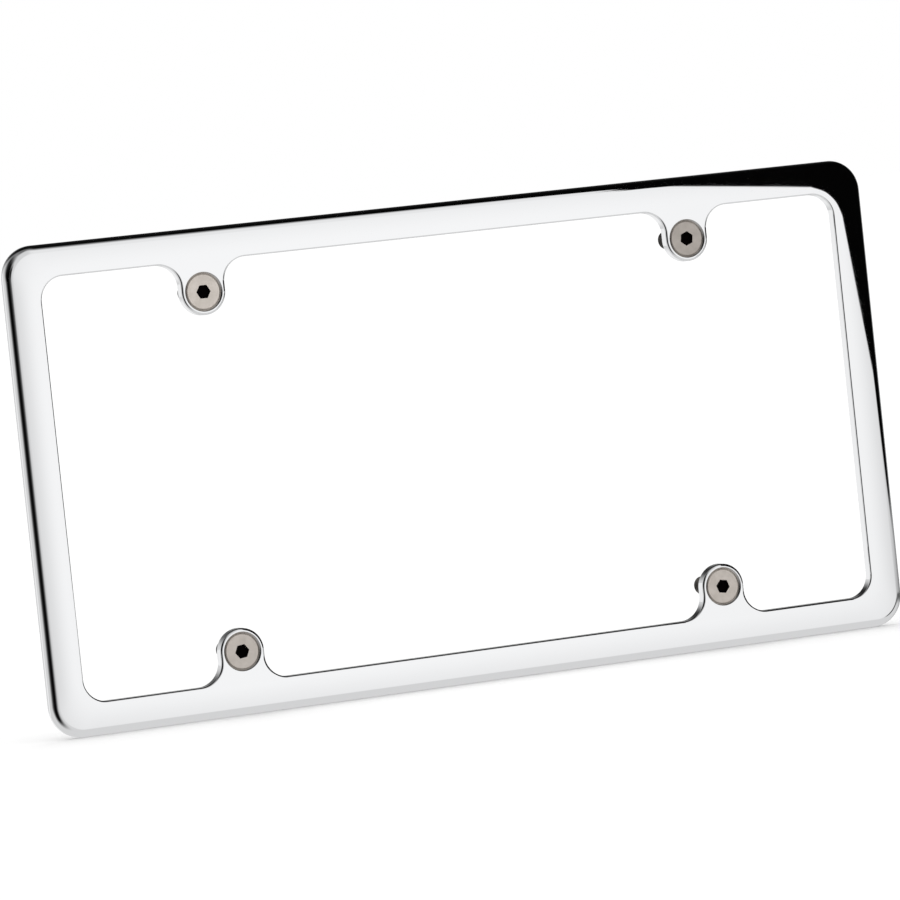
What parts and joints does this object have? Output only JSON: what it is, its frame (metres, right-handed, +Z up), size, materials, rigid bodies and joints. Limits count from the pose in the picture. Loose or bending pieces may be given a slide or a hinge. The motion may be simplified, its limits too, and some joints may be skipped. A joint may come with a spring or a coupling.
{
  "type": "number plate holder",
  "caption": "Polished one-piece number plate frame with an open window, four ears and countersunk hex socket screws.",
  "frame": {"origin": "centre of the bolt pattern, on the plane of the recess floor that bears on the plate", "axes": "+X along the width, to the right seen from the front; +Y out of the back, into the plate and the car; +Z up"},
  "size_m": [0.315, 0.0187, 0.1634],
  "materials": {
    "polished_aluminium": "mirror polished",
    "stainless_screw": "fine satin, slightly warm"
  },
  "bodies": {
    "root": {"frame": "polished_aluminium", "screw_top_left": "stainless_screw", "screw_top_right": "stainless_screw", "screw_bottom_left": "stainless_screw", "screw_bottom_right": "stainless_screw"}
  },
  "joints": []
}
